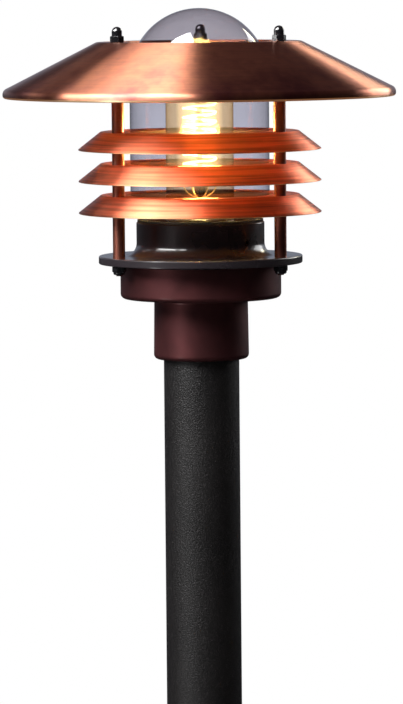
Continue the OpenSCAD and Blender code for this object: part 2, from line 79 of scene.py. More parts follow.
SHADE_R, SHADE_RIM_Z, SHADE_Z = span("shade")
GLASS_R, GLASS_DOME_Z, GLASS_TOP_Z = span("glass_dome")
GLASS_NECK_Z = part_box("glass_neck")[0].z
BULB_R, BULB_FOOT_Z, BULB_TOP_Z = span("bulb_glass")
CAP_R, CAP_LOW_Z, CAP_TOP_Z = span("bulb_cap")
POLE_R, POLE_FOOT_Z = span("pole")[:2]
FLANGE_LOW_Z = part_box("upper_housing")[0].z
FLANGE_TOP_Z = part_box("spacers_flange")[0].z
GLASS_SEAT_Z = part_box("glass_gasket")[1].z
BULB_LOW_Z, BULB_HIGH_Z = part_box("bulb_filament")[0].z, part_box("bulb_filament")[1].z
SHEET = 1.0 * MM
GLASS_WALL = 3.0 * MM
BULB_WALL = 0.8 * MM
HOLE_R = GLASS_R + 1.5 * MM
RODS = ("tie_rod_left", "tie_rod_right", "tie_rod_rear")


# ---------------------------------------------------------------- meshes

def arc(cx, cz, radius, start, stop, steps):
    """Points of an arc in the radius and height plane, from one angle to another in degrees."""
    points = []
    for i in range(steps + 1):
        a = math.radians(start + (stop - start) * i / steps)
        points.append((cx + radius * math.cos(a), cz + radius * math.sin(a)))
    return points


def rows(r, low, high, count):
    """Evenly spaced points up a straight wall."""
    return [(r, low + (high - low) * i / count) for i in range(count + 1)]


def new_object(name, bm, sharp=35):
    """Turns a bmesh into a smooth-shaded object whose creases stay sharp."""
    bmesh.ops.recalc_face_normals(bm, faces=bm.faces)
    mesh = bpy.data.meshes.new(name)
    bm.to_mesh(mesh)
    bm.free()
    mesh.shade_smooth()
    mesh.set_sharp_from_angle(angle=math.radians(sharp))
    obj = bpy.data.objects.new(name, mesh)
    bpy.context.collection.objects.link(obj)
    return obj


def revolve(bm, outline, segments, centre=(0, 0), shape=None):
    """Adds a closed outline of (radius, height) points turned about a vertical line.
    shape(radius, height, angle) may return another radius, for threads and hexagons."""
    rings = []
    for r, z in outline:
        if r < 1e-7:
            rings.append([bm.verts.new((centre[0], centre[1], z))])
            continue
        ring = []
        for k in range(segments):
            a = TURN * k / segments
            q = shape(r, z, a) if shape else r
            ring.append(bm.verts.new((centre[0] + q * math.cos(a), centre[1] + q * math.sin(a), z)))
        rings.append(ring)
    for i, ring in enumerate(rings):
        after = rings[(i + 1) % len(rings)]
        if len(ring) == 1 and len(after) == 1:
            continue
        for k in range(segments):
            n = (k + 1) % segments
            if len(ring) == 1:
                bm.faces.new((ring[0], after[n], after[k]))
            elif len(after) == 1:
                bm.faces.new((ring[k], ring[n], after[0]))
            else:
                bm.faces.new((ring[k], ring[n], after[n], after[k]))


def lathe(name, outline, segments=192, centre=(0, 0), shape=None, sharp=35):
    bm = bmesh.new()
    revolve(bm, outline, segments, centre, shape)
    return new_object(name, bm, sharp)


def wire(name, paths, radius, sides):
    """Round wires swept along lists of points, joined in one object."""
    bm = bmesh.new()
    for path in paths:
        rings = []
        side = None
        for i, point in enumerate(path):
            ahead = path[min(i + 1, len(path) - 1)] - path[max(i - 1, 0)]
            ahead.normalize()
            if side is None:
                side = ahead.orthogonal()
            side = (side - ahead * side.dot(ahead)).normalized()
            up = ahead.cross(side)
            ring = []
            for k in range(sides):
                a = TURN * k / sides
                ring.append(bm.verts.new(point + (side * math.cos(a) + up * math.sin(a)) * radius))
            rings.append(ring)
        for ring, after in zip(rings, rings[1:]):
            for k in range(sides):
                n = (k + 1) % sides
                bm.faces.new((ring[k], ring[n], after[n], after[k]))
        bm.faces.new(list(reversed(rings[0])))
        bm.faces.new(rings[-1])
    return new_object(name, bm, 60)


def put(piece, body, material, slot, *nodes):
    """Gives a piece its material and body, and hides the CAD nodes that it stands for. slot is not used."""
    piece.data.materials.clear()
    piece.data.materials.append(material)
    if nodes:
        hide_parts(*nodes)
    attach(piece, body)


def dress(material, *nodes):
    """Gives CAD nodes that keep their own shape a finished material."""
    for name in nodes:
        node = frame["nodes"][name]
        for material_slot in node.material_slots:
            material_slot.link = "OBJECT"
            material_slot.material = material


# ---------------------------------------------------------------- material building

class Shader:
    """A small helper that adds nodes and joins their sockets."""

    def __init__(self, name):
        self.material = bpy.data.materials.new(name)
        self.material.use_nodes = True
        self.tree = self.material.node_tree
        self.tree.nodes.clear()
        self.output = self.tree.nodes.new("ShaderNodeOutputMaterial")

    def add(self, kind, values=None, **settings):
        node = self.tree.nodes.new("ShaderNode" + kind)
        for key, value in settings.items():
            setattr(node, key, value)
        for key, value in (values or {}).items():
            self.feed(node.inputs[key], value)
        return node

    def feed(self, socket, value):
        if isinstance(value, bpy.types.NodeSocket):
            self.tree.links.new(value, socket)
        else:
            socket.default_value = value

    def math(self, operation, a, b=0.0, clamp=False):
        return self.add("Math", {0: a, 1: b}, operation=operation, use_clamp=clamp).outputs[0]

    def remap(self, value, from_low, from_high, to_low, to_high):
        return self.add("MapRange", {0: value, 1: from_low, 2: from_high, 3: to_low, 4: to_high}).outputs[0]

    def mix(self, factor, a, b):
        """Mixes two colours."""
        node = self.add("Mix", data_type="RGBA")
        self.feed(node.inputs[0], factor)
        self.feed(node.inputs[6], a)
        self.feed(node.inputs[7], b)
        return node.outputs[2]

    def noise(self, vector, scale, detail=3.0, roughness=0.55):
        return self.add("TexNoise", {"Vector": vector, "Scale": scale, "Detail": detail,
                                     "Roughness": roughness}).outputs["Fac"]

    def place(self):
        """Coordinates on the object: point, radius from the pole's axis, angle round it, height."""
        point = self.add("TexCoord").outputs["Object"]
        xyz = self.add("SeparateXYZ", {0: point}).outputs
        flat = self.add("CombineXYZ", {0: xyz[0], 1: xyz[1]}).outputs[0]
        radius = self.add("VectorMath", {0: flat}, operation="LENGTH").outputs["Value"]
        angle = self.math("ARCTAN2", xyz[1], xyz[0])
        return point, radius, angle, xyz[2]

    def bump(self, height, strength, distance):
        return self.add("Bump", {"Height": height, "Strength": strength, "Distance": distance}).outputs[0]

    def surface(self, socket):
        self.tree.links.new(socket, self.output.inputs["Surface"])
        return self.material


def colour(r, g, b):
    return (r, g, b, 1.0)


# Light that bounces between the louvres, put on by hand: undersides are where the object's normal points down
# by more than FACES_DOWN.
FACES_DOWN = -0.3
BOUNCE_TONE, BOUNCE_STRENGTH = (1.0, 0.40, 0.16), 0.16
TARNISH = (0.42, 0.13, 0.05)


def copper(name, fresh, aged, roughness, grain, patina=0.5, spun=0.93, edge=None, inside=None,
           lines=0.08):
    """Brushed copper: grain turned round the axis, or along a rod, with cloudy darkening and fine scratches.
    spun is how strongly the grain draws the highlight out, 0 for a drawn rod. edge gives the radii between
    which the sheet darkens towards its rim. inside is the unweathered metal underneath, where the bulb's
    light gathers; it also switches on a painted glow there, an emission standing in for the bulb's light
    bouncing between the louvres. lines is the contrast of the brushed lines."""
    s = Shader(name)
    point, radius, angle, height = s.place()
    if not spun:
        streak_at = s.add("VectorMath", {0: point, 1: (1.0, 1.0, 0.035)}, operation="MULTIPLY").outputs[0]
        streaks = s.noise(streak_at, 2600.0, 3.0)
        wide = s.noise(streak_at, 500.0, 2.0)
    else:
        round_axis = s.math("MULTIPLY", angle, 0.0012)
        streak_at = s.add("CombineXYZ", {0: radius, 1: round_axis, 2: height}).outputs[0]
        streaks = s.noise(streak_at, 2400.0, 4.0, 0.7)
        wide = s.noise(streak_at, 520.0, 2.0)
    clouds = s.noise(point, 26.0, 4.0, 0.6)
    spots = s.noise(point, 140.0, 2.0)
    stain = s.math("ADD", s.math("MULTIPLY", clouds, 0.75), s.math("MULTIPLY", spots, 0.25))
    stain = s.remap(stain, 0.40, 0.66, 0.0, patina)
    if edge:
        stain = s.math("ADD", stain, s.remap(radius, edge[0], edge[1], 0.0, 0.35), clamp=True)
    marks = s.remap(s.noise(point, 70.0, 2.0), 0.68, 0.75, 0.0, 0.5 * patina)
    worn = s.mix(stain, colour(*fresh), colour(*aged))
    worn = s.mix(marks, worn, colour(*TARNISH))
    if inside:
        facing_down = s.add("SeparateXYZ", {0: s.add("TexCoord").outputs["Normal"]}).outputs[2]
        under = s.math("LESS_THAN", facing_down, FACES_DOWN)
        worn = s.mix(under, worn, colour(*inside))
    line = s.remap(streaks, 0.3, 0.7, -lines, lines)
    band = s.remap(wide, 0.35, 0.65, 1.0 - 1.6 * lines, 1.0 + 1.6 * lines)
    tone = s.math("ADD", line, band)
    shade = s.add("VectorMath", {0: worn, 1: s.add("CombineXYZ", {0: tone, 1: tone, 2: tone}).outputs[0]},
                  operation="MULTIPLY").outputs[0]
    rough = s.math("ADD", s.remap(streaks, 0.3, 0.7, roughness - 0.03, roughness + 0.04),
                   s.math("MULTIPLY", stain, 0.05))
    body = s.add("BsdfPrincipled", {"Base Color": shade, "Metallic": 1.0, "Roughness": rough,
                                    "Anisotropic": spun, "Anisotropic Rotation": 0.25 if spun else 0.0,
                                    "Normal": s.bump(streaks, grain, 0.00012)})
    # painted glow: emission on the undersides stands in for the bulb's light bouncing between the louvres
    if inside:
        s.feed(body.inputs["Emission Color"], colour(*BOUNCE_TONE))
        s.feed(body.inputs["Emission Strength"], s.math("MULTIPLY", under, BOUNCE_STRENGTH))
    if spun:
        tangent = s.add("Tangent", direction_type="RADIAL", axis="Z")
        s.feed(body.inputs["Tangent"], tangent.outputs[0])
    return s.surface(body.outputs[0])


def lacquer(name, base, tint, roughness, coat, polish=0.16, metallic=0.0, plain=None):
    """Dark stoved lacquer over a casting: soft sheen, faint orange peel, dust and small scuffs.
    plain gives the neutral black below a height, for the flange."""
    s = Shader(name)
    point, _, _, height = s.place()
    clouds = s.noise(point, 30.0, 3.0)
    peel = s.noise(point, 900.0, 2.0)
    specks = s.remap(s.noise(point, 2300.0, 1.0), 0.70, 0.78, 0.0, 1.0)
    scuffs = s.remap(s.noise(point, 300.0, 4.0, 0.75), 0.64, 0.74, 0.0, 1.0)
    paint = s.mix(s.remap(clouds, 0.35, 0.65, 0.0, 1.0), colour(*base), colour(*tint))
    if plain:
        tone, top = plain
        paint = s.mix(s.remap(height, top, top + 0.6 * MM, 1.0, 0.0), paint, colour(*tone))
    paint = s.mix(s.math("MULTIPLY", specks, 0.35), paint, colour(0.10, 0.08, 0.08))
    rough = s.math("ADD", s.remap(clouds, 0.3, 0.7, roughness - 0.05, roughness + 0.05),
                   s.math("MULTIPLY", scuffs, 0.12))
    body = s.add("BsdfPrincipled", {"Base Color": paint, "Metallic": metallic, "Roughness": rough,
                                    "Coat Weight": coat, "Coat Roughness": polish,
                                    "Normal": s.bump(peel, 0.05, 0.0002)})
    return s.surface(body.outputs[0])


def powder_coat(name):
    """Fine-textured black powder coat with painted glints: pale flecks in its colour where the grain would
    catch the light.
    """
    s = Shader(name)
    point = s.place()[0]
    grain = s.noise(point, 1300.0, 2.0, 0.6)
    flecks = s.noise(point, 2300.0, 1.0)
    clouds = s.noise(point, 18.0, 4.0)
    rubbed = s.remap(clouds, 0.35, 0.70, 0.0, 1.0)
    base = s.mix(rubbed, colour(0.0025, 0.0022, 0.0022), colour(0.0045, 0.0039, 0.0038))
    # painted glints: pale flecks mixed into the colour where the grain would catch the light
    base = s.mix(s.remap(flecks, 0.60, 0.74, 0.0, 0.8), base, colour(0.045, 0.042, 0.042))
    rough = s.remap(clouds, 0.3, 0.7, 0.40, 0.46)
    body = s.add("BsdfPrincipled", {"Base Color": base, "Roughness": rough, "Specular IOR Level": 0.34,
                                    "Normal": s.bump(grain, 0.8, 0.0004)})
    return s.surface(body.outputs[0])


def plain_metal(name, base, roughness, scale=600.0, variation=0.12, metallic=1.0, ior=1.5, painted_glow=0.0):
    """Plated or bare small metal parts, with fine mottling in colour and gloss. The last argument paints a
    glow
    on wires that stand next to the filament: an emission standing in for the filament's light on them."""
    s = Shader(name)
    point = s.place()[0]
    mottle = s.noise(point, scale, 4.0, 0.65)
    dark = tuple(c * (1 - 2 * variation) for c in base)
    tone = s.mix(s.remap(mottle, 0.35, 0.65, 0.0, 1.0), colour(*dark), colour(*base))
    rough = s.remap(mottle, 0.3, 0.7, roughness - 0.06, roughness + 0.08)
    body = s.add("BsdfPrincipled", {"Base Color": tone, "Metallic": metallic, "Roughness": rough, "IOR": ior,
                                    # painted glow: emission standing in for the filament's light on wires
                                    # next to it
                                    "Emission Color": colour(1.0, 0.60, 0.16), "Emission Strength": painted_glow,
                                    "Normal": s.bump(mottle, 0.08, 0.0001)})
    return s.surface(body.outputs[0])


def moulded(name, base, roughness, scale=1500.0, relief=0.15, coat=0.0):
    """Rubber, plastic and glazed ceramic: a fine skin and slight tone changes."""
    s = Shader(name)
    point = s.place()[0]
    skin = s.noise(point, scale, 2.0)
    clouds = s.noise(point, 60.0, 3.0)
    dull = tuple(c * 0.82 for c in base)
    tone = s.mix(s.remap(clouds, 0.35, 0.65, 0.0, 1.0), colour(*dull), colour(*base))
    rough = s.remap(skin, 0.3, 0.7, roughness - 0.06, roughness + 0.06)
    body = s.add("BsdfPrincipled", {"Base Color": tone, "Roughness": rough, "Coat Weight": coat,
                                    "Coat Roughness": 0.08, "Normal": s.bump(skin, relief, 0.0001)})
    return s.surface(body.outputs[0])


def clear_glass(name, face_tint, edge_tint, skin, below=None, glow=None, shine=1.0):
    """Blown glass drawn as thin walls. The outer skin carries the tint, denser towards the outline, and
    mirrors by Schlick's curve; the inner one is nearly clear. skin is the radius between the two, and the
    height of the dome's centre. below is the paler tint lower down the tube, a painted light: the tube is
    made brighter below the dome, where the bulb lights it. glow is a faint light of its own: tone, strength
    facing the viewer, strength at the outline, and the two heights it spans."""
    s = Shader(name)
    point, radius, _, height = s.place()
    wave = s.noise(point, 45.0, 2.0)
    dust = s.noise(point, 700.0, 3.0)
    normal = s.bump(wave, 0.01, 0.002)
    facing = s.add("LayerWeight", {"Blend": 0.5}).outputs["Facing"]
    over = s.math("MAXIMUM", s.math("SUBTRACT", height, skin[1]))
    reach = s.math("SQRT", s.math("ADD", s.math("POWER", radius, 2.0), s.math("POWER", over, 2.0)))
    outer = s.math("GREATER_THAN", reach, skin[0])
    face = colour(*face_tint)
    # painted light: a paler tint lower down the tube, where the bulb lights it
    if below:
        face = s.mix(s.remap(over, 0.0, 5.0 * MM, 0.0, 1.0), colour(*below), face)
    haze = s.remap(s.noise(point, 28.0, 3.0), 0.3, 0.7, 0.0, 0.16)
    dense = s.mix(s.math("POWER", facing, 3.0), s.mix(haze, face, colour(*edge_tint)), colour(*edge_tint))
    through = s.add("BsdfTransparent", {"Color": s.mix(outer, colour(0.97, 0.97, 0.97), dense)})
    mirror = s.add("BsdfGlossy", {"Color": colour(shine, shine, shine),
                                  "Roughness": s.remap(dust, 0.3, 0.8, 0.02, 0.07), "Normal": normal})
    curve = s.math("ADD", s.math("MULTIPLY", s.math("POWER", facing, 5.0), 0.4), 0.04)
    front = s.math("MULTIPLY", outer, s.math("SUBTRACT", 1.0, s.add("NewGeometry").outputs["Backfacing"]))
    share = s.math("MULTIPLY", curve, s.remap(front, 0.0, 1.0, 0.15, 1.0))
    mixed = s.add("MixShader", {0: share, 1: through.outputs[0], 2: mirror.outputs[0]}).outputs[0]
    if glow:
        tone, middle, rim, low, high = glow
        along = s.remap(s.math("ABSOLUTE", s.math("SUBTRACT", height, (low + high) / 2)),
                        0.40 * (high - low), 0.66 * (high - low), 1.0, 0.0)
        across = s.remap(facing, 0.02, 0.30, middle, rim)
        light = s.add("Emission", {"Color": colour(*tone), "Strength": s.math("MULTIPLY", along, across)})
        mixed = s.add("AddShader", {0: mixed, 1: light.outputs[0]}).outputs[0]
    return s.surface(mixed)


def glowing(name, hot, cool, strength, low, high):
    """Filament: brightest in the middle of its height, redder towards its ends."""
    s = Shader(name)
    point, _, _, height = s.place()
    away = s.math("ABSOLUTE", s.math("SUBTRACT", height, (low + high) / 2))
    end = s.remap(away, 0.25 * (high - low), 0.5 * (high - low), 0.0, 1.0)
    flicker = s.remap(s.noise(point, 400.0, 2.0), 0.3, 0.7, 0.85, 1.15)
    tone = s.mix(end, colour(*hot), colour(*cool))
    light = s.add("Emission", {"Color": tone, "Strength": s.math("MULTIPLY", flicker, strength)})
    return s.surface(light.outputs[0])


SHADE_COPPER = copper("shade_copper", (0.76, 0.31, 0.17), (0.36, 0.115, 0.095), 0.30, 0.015, 0.85, spun=1.0,
                      edge=(0.75 * SHADE_R, 0.99 * SHADE_R), inside=(0.95, 0.70, 0.42), lines=0.035)
LOUVRE_COPPER = copper("louvre_copper", (0.86, 0.26, 0.14), (0.68, 0.175, 0.095), 0.45, 0.04, 0.45,
                       inside=(0.95, 0.70, 0.42), lines=0.16)
ROD_COPPER = copper("rod_copper", (0.42, 0.15, 0.10), (0.24, 0.08, 0.06), 0.36, 0.05, 0.7, spun=0.0)
HOUSING_LACQUER = lacquer("housing_lacquer", (0.058, 0.018, 0.019), (0.100, 0.029, 0.030), 0.44, 0.15,
                          metallic=0.85)
FLANGE_LACQUER = lacquer("flange_lacquer", (0.014, 0.0055, 0.0055), (0.024, 0.009, 0.009), 0.30, 0.7, 0.10,
                         plain=((0.013, 0.010, 0.012), FLANGE_TOP_Z))
POWDER_COAT = powder_coat("pole_powder_coat")
BLACK_STEEL = plain_metal("black_steel", (0.005, 0.005, 0.006), 0.10, 900.0, 0.10, 0.0, 1.8)
ZINC_STEEL = plain_metal("zinc_steel", (0.62, 0.63, 0.65), 0.34)
BARE_BRASS = plain_metal("bare_brass", (0.76, 0.56, 0.25), 0.28)
CAP_METAL = plain_metal("cap_metal", (0.80, 0.76, 0.68), 0.22)
# the support wires get a painted glow standing in for the filament's light on them
SUPPORT_WIRE = plain_metal("support_wire", (0.72, 0.46, 0.24), 0.30, 2500.0, painted_glow=0.55)
BLACK_RUBBER = moulded("black_rubber", (0.020, 0.020, 0.021), 0.62)
DARK_CERAMIC = moulded("dark_ceramic", (0.045, 0.030, 0.022), 0.24, 300.0, 0.03, 0.6)
TERMINAL_PLASTIC = moulded("terminal_plastic", (0.80, 0.78, 0.71), 0.45)
BROWN_INSULATION = moulded("brown_insulation", (0.16, 0.060, 0.025), 0.40)
BLUE_INSULATION = moulded("blue_insulation", (0.03, 0.10, 0.38), 0.40)
BLACK_VITRITE = moulded("black_vitrite", (0.012, 0.010, 0.012), 0.14, 400.0, 0.02, 0.3)
# the tube's paler tint below the dome is a painted light from the bulb
CLEAR_GLASS = clear_glass("clear_glass", (0.66, 0.64, 0.69), (0.20, 0.20, 0.23),
                          (GLASS_R - GLASS_WALL / 2, GLASS_DOME_Z), below=(0.72, 0.72, 0.79), shine=2.5)
STEM_GLASS = clear_glass("stem_glass", (0.95, 0.82, 0.68), (0.74, 0.50, 0.30), (0.0, BULB_TOP_Z), shine=1.5)
AMBER_GLASS = clear_glass("amber_glass", (0.97, 0.87, 0.71), (0.50, 0.32, 0.18),
                          (BULB_R - BULB_WALL / 2, BULB_TOP_Z - BULB_R),
                          glow=((1.0, 0.74, 0.34), 0.50, 0.10, BULB_LOW_Z, BULB_HIGH_Z))
FILAMENT = glowing("filament", (1.0, 0.74, 0.28), (1.0, 0.45, 0.10), 11.0, BULB_LOW_Z, BULB_HIGH_Z)


# ---------------------------------------------------------------- shade and louvres

def make_shade():
    """Spun sheet: flat top, cone, rounded upright rim and a turned-in hem."""
    slope = math.radians(26.8)
    top_r, top_bend, rim_bend, hem_bend, hem = (v * MM for v in (57.4, 2.5, 3.4, 1.6, 1.2))
    top_x = top_r - top_bend * math.tan(slope / 2)
    corner_z = SHADE_Z - (SHADE_R - top_r) * math.tan(slope)
    bend_z = corner_z - rim_bend * math.tan((math.pi / 2 - slope) / 2)
    angle = math.degrees(slope)

    def side(inset):
        points = [(HOLE_R, SHADE_Z - inset)]
        points += arc(top_x, SHADE_Z - top_bend, top_bend - inset, 90, 90 - angle, 8)
        points += arc(SHADE_R - rim_bend, bend_z, rim_bend - inset, 90 - angle, 0, 12)
        points += arc(SHADE_R - hem_bend, SHADE_RIM_Z + hem_bend, hem_bend - inset, 0, -90, 10)
        points.append((SHADE_R - hem_bend - hem, SHADE_RIM_Z + inset))
        return points

    shade = lathe("shade_spun", side(0) + list(reversed(side(SHEET))), 256)
    put(shade, "shade", SHADE_COPPER, "shade_copper", "shade")


def make_louvre(node):
    """Spun ring: flat top with an eased bend into its sloping skirt, and a rounded lip."""
    top_z = span(node)[2]
    thick, bend = 0.8 * MM, 1.2 * MM
    top_r, drop = 55.6 * MM, 9.9 * MM
    outer_r = 68.2 * MM
    slope = math.degrees(math.atan2(drop, outer_r - top_r))
    bend_x = top_r - bend * math.tan(math.radians(slope) / 2)
    bore = GLASS_R + 2.5 * MM
    down, out = math.sin(math.radians(slope)), math.cos(math.radians(slope))
    lip_x = outer_r - thick / 2 * down - thick / 2 * out
    lip_z = top_z - drop - thick / 2 * out + thick / 2 * down
    outline = [(bore, top_z - 0.1 * MM), (bore + 0.1 * MM, top_z)]
    outline += arc(bend_x, top_z - bend, bend, 90, 90 - slope, 6)
    outline += arc(lip_x, lip_z, thick / 2, 90 - slope, -90 - slope, 6)
    outline += list(reversed(arc(bend_x, top_z - bend, bend - thick, 90, 90 - slope, 6)))
    outline += [(bore + 0.1 * MM, top_z - thick), (bore, top_z - thick + 0.1 * MM)]
    ring = lathe(node + "_spun", outline, 224)
    put(ring, "head", LOUVRE_COPPER, "louvre_copper", node)


# ---------------------------------------------------------------- glass and bulb

def make_glass():
    """Jar with a threaded neck, rounded shoulder and domed top."""
    wall, corner, pitch, depth = GLASS_WALL, 4.5 * MM, 4.0 * MM, 0.8 * MM
    neck_r = 31.7 * MM
    thread_low, thread_high = GLASS_NECK_Z + 1.5 * MM, GLASS_SEAT_Z - 3.0 * MM

    def thread(r, z, a):
        if abs(r - neck_r) > 1e-6 or not thread_low < z < thread_high:
            return r if abs(r - neck_r) > 1e-6 else neck_r - depth
        fade = min(1.0, (z - thread_low) / pitch, (thread_high - z) / pitch)
        wave = 0.5 + 0.5 * math.cos(TURN * (z / pitch) - a)
        return neck_r - depth * (1 - fade * wave ** 2)

    outline = rows(neck_r, GLASS_NECK_Z, GLASS_SEAT_Z, 48)
    outline += arc(GLASS_R - corner, GLASS_SEAT_Z + corner, corner, -90, 0, 10)
    outline += arc(0, GLASS_DOME_Z, GLASS_R, 0, 90, 40)
    inner = [(neck_r - wall, GLASS_NECK_Z + 0.4 * MM), (neck_r - wall, GLASS_SEAT_Z + wall)]
    inner += arc(GLASS_R - corner, GLASS_SEAT_Z + corner, corner - wall, -90, 0, 8)
    inner += arc(0, GLASS_DOME_Z, GLASS_R - wall, 0, 90, 40)
    outline[-1] = (0, GLASS_TOP_Z)
    inner[-1] = (0, GLASS_TOP_Z - wall)
    jar = lathe("glass_jar", outline + list(reversed(inner)), 192, shape=thread)
    put(jar, "glass", CLEAR_GLASS, "clear_glass", "glass_neck", "glass_tube", "glass_dome")


def make_bulb():
    """Tubular envelope, screw cap, coiled filament and the wires that hold it."""
    mouth_r = 12.2 * MM
    shoulder = 8.0 * MM
    cap_top = CAP_TOP_Z
    dome_z = BULB_TOP_Z - BULB_R

    def envelope(inset, steps=16):
        points = [(mouth_r - inset, BULB_FOOT_Z)]
        for i in range(steps + 1):
            u = i / steps
            swell = (BULB_R - mouth_r) * (1 - math.cos(math.pi * u)) / 2
            points.append((mouth_r - inset + swell, cap_top + shoulder * u))
        return points + arc(0, dome_z, BULB_R - inset, 0, 90, 28)

    outer, inner = envelope(0), envelope(BULB_WALL)
    outer[-1], inner[-1] = (0, BULB_TOP_Z), (0, BULB_TOP_Z - BULB_WALL)
    tube = lathe("bulb_envelope", outer + list(reversed(inner)), 128)
    put(tube, "bulb", AMBER_GLASS, "amber_glass", "bulb_glass")

    pitch, depth = 3.6 * MM, 0.8 * MM
    thread_low, thread_high = CAP_LOW_Z + 1.0 * MM, cap_top - 3.0 * MM

    def thread(r, z, a):
        if abs(r - CAP_R) > 1e-6:
            return r
        fade = max(0.0, min(1.0, (z - thread_low) / (0.5 * pitch), (thread_high - z) / (0.5 * pitch)))
        return CAP_R - depth * (1 - fade * (0.5 + 0.5 * math.cos(TURN * z / pitch - a)))

    outline = [(CAP_R - 1.4 * MM, CAP_LOW_Z)] + rows(CAP_R, CAP_LOW_Z + 0.6 * MM, cap_top - 1.5 * MM, 60)
    outline += [(CAP_R - 0.3 * MM, cap_top - 0.9 * MM), (CAP_R - 0.3 * MM, cap_top),
                (mouth_r + 0.05 * MM, cap_top),
                (mouth_r + 0.05 * MM, cap_top - 3.1 * MM), (CAP_R - 1.8 * MM, CAP_LOW_Z + 1.0 * MM),
                (CAP_R - 1.8 * MM, CAP_LOW_Z)]
    cap = lathe("bulb_cap_screw", outline, 72, shape=thread, sharp=50)
    put(cap, "bulb", CAP_METAL, "cap_metal", "bulb_cap")

    coil_r, turns, per_turn = span("bulb_filament")[0] - 0.5 * MM, 9, 40
    low, high = BULB_LOW_Z + 0.5 * MM, BULB_HIGH_Z - 0.5 * MM
    path = []
    for i in range(turns * per_turn + 1):
        a = TURN * i / per_turn
        sag = 0.25 * MM * math.sin(3 * a + 0.7)
        rise = low + (high - low) * i / (turns * per_turn)
        path.append(Vector((coil_r * math.cos(a), coil_r * math.sin(a), rise + sag)))
    coil = wire("filament_coil", [path], 0.65 * MM, 10)
    put(coil, "bulb", FILAMENT, "filament", "bulb_filament")

    arms = []
    stem_low, stem_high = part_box("bulb_supports")[0].z + 0.4 * MM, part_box("bulb_stem")[1].z - 2.5 * MM
    coil_low = BULB_LOW_Z + 0.5 * MM - stem_low
    for i in range(6):
        a = TURN * i / 6
        out = Vector((math.cos(a), math.sin(a), 0))
        lower = [(2.6, 0.0), (4.2, 0.6), (6.6, 2.2), (8.4, 4.4), (9.3, 7.0), (9.5, 9.4)]
        upper = [(1.3, 0.0), (4.0, -0.5), (6.6, -1.2), (8.6, -1.9), (9.7, -2.3), (9.9, -3.0), (9.3, -3.4)]
        lower += [(9.5, coil_low / MM - 0.6), (9.0, coil_low / MM)]
        arms.append([out * r * MM + Vector((0, 0, stem_low + z * MM)) for r, z in lower])
        arms.append([out * r * MM + Vector((0, 0, stem_high + z * MM)) for r, z in upper])
    supports = wire("filament_supports", arms, 0.36 * MM, 8)
    put(supports, "bulb", SUPPORT_WIRE, "support_wire", "bulb_supports")


# ---------------------------------------------------------------- rods and nuts

def rod_place(node):
    middle = centre_of(node)
    return middle.x, middle.y


def screw_thread(r_crest, pitch, depth, low, high):
    """Radius of a fine screw thread between two heights, plain elsewhere."""
    def shape(r, z, a):
        if abs(r - r_crest) > 1e-6 or not low <= z <= high:
            return r
        wave = abs(((z / pitch - a / TURN) % 1.0) * 2 - 1)
        return r_crest - depth * wave
    return shape


def make_rods():
    """Studs with M4 threads cut on both ends."""
    pitch, depth, upper, lower = 0.7 * MM, 0.36 * MM, 9.0 * MM, 5.4 * MM
    for node in RODS:
        low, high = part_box(node)
        r = (high.x - low.x) / 2
        ease = 0.3 * MM
        steps_up, steps_down = 72, 40
        outline = [(0, low.z), (r - ease, low.z)] + rows(r, low.z + ease, low.z + lower, steps_down)
        outline += rows(r, high.z - upper, high.z - ease, steps_up) + [(r - ease, high.z), (0, high.z)]
        cut = screw_thread(r, pitch, depth, low.z, high.z)
        plain_low, plain_high = low.z + lower, high.z - upper
        shape = lambda q, z, a, cut=cut: q if plain_low - 1e-6 < z < plain_high + 1e-6 else cut(q, z, a)
        rod = lathe(node + "_stud", outline, 24, rod_place(node), shape, 50)
        put(rod, "head", ROD_COPPER, "rod_copper", node)


def hexagon(flats, turn, limit):
    """Radius of a hexagon of that width across flats, turned off to limit(height)."""
    def shape(r, z, a):
        if r < flats / 2 - 1e-6:
            return r
        third = TURN / 6
        return min(flats / 2 / math.cos((a - turn) % third - third / 2), limit(z))
    return shape


def make_cap_nut(node, turn):
    """Domed cap nut: chamfered hexagon, short neck and polished dome."""
    low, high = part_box(node)
    flats, nut_h, dome_r = 7.0 * MM, 3.7 * MM, 2.9 * MM
    dome_z = high.z - dome_r
    top = low.z + nut_h
    corner = flats / 2 / math.cos(math.pi / 6)

    def limit(z):
        near = min(z - low.z, top - z)
        return corner - 0.55 * MM + min(near, 0.36 * MM) * 1.55

    wall = flats / 2
    outline = [(2.05 * MM, low.z), (wall, low.z)]
    outline += rows(wall, low.z + 0.09 * MM, low.z + 0.4 * MM, 4)
    outline += rows(wall, top - 0.4 * MM, top, 4)
    outline += [(dome_r + 0.2 * MM, top), (dome_r, top + 0.2 * MM)]
    outline += arc(0, dome_z, dome_r, 0, 90, 18)
    outline[-1] = (0, high.z)
    outline += [(0, low.z + 5.6 * MM), (2.05 * MM, low.z + 5.2 * MM)]
    rod = {"cap_nut_left": RODS[0], "cap_nut_right": RODS[1], "cap_nut_rear": RODS[2]}[node]
    shape = hexagon(flats, math.radians(turn), limit)
    nut = lathe(node + "_polished", outline, 96, rod_place(rod), shape, 28)
    put(nut, node, BLACK_STEEL, "black_steel", node)


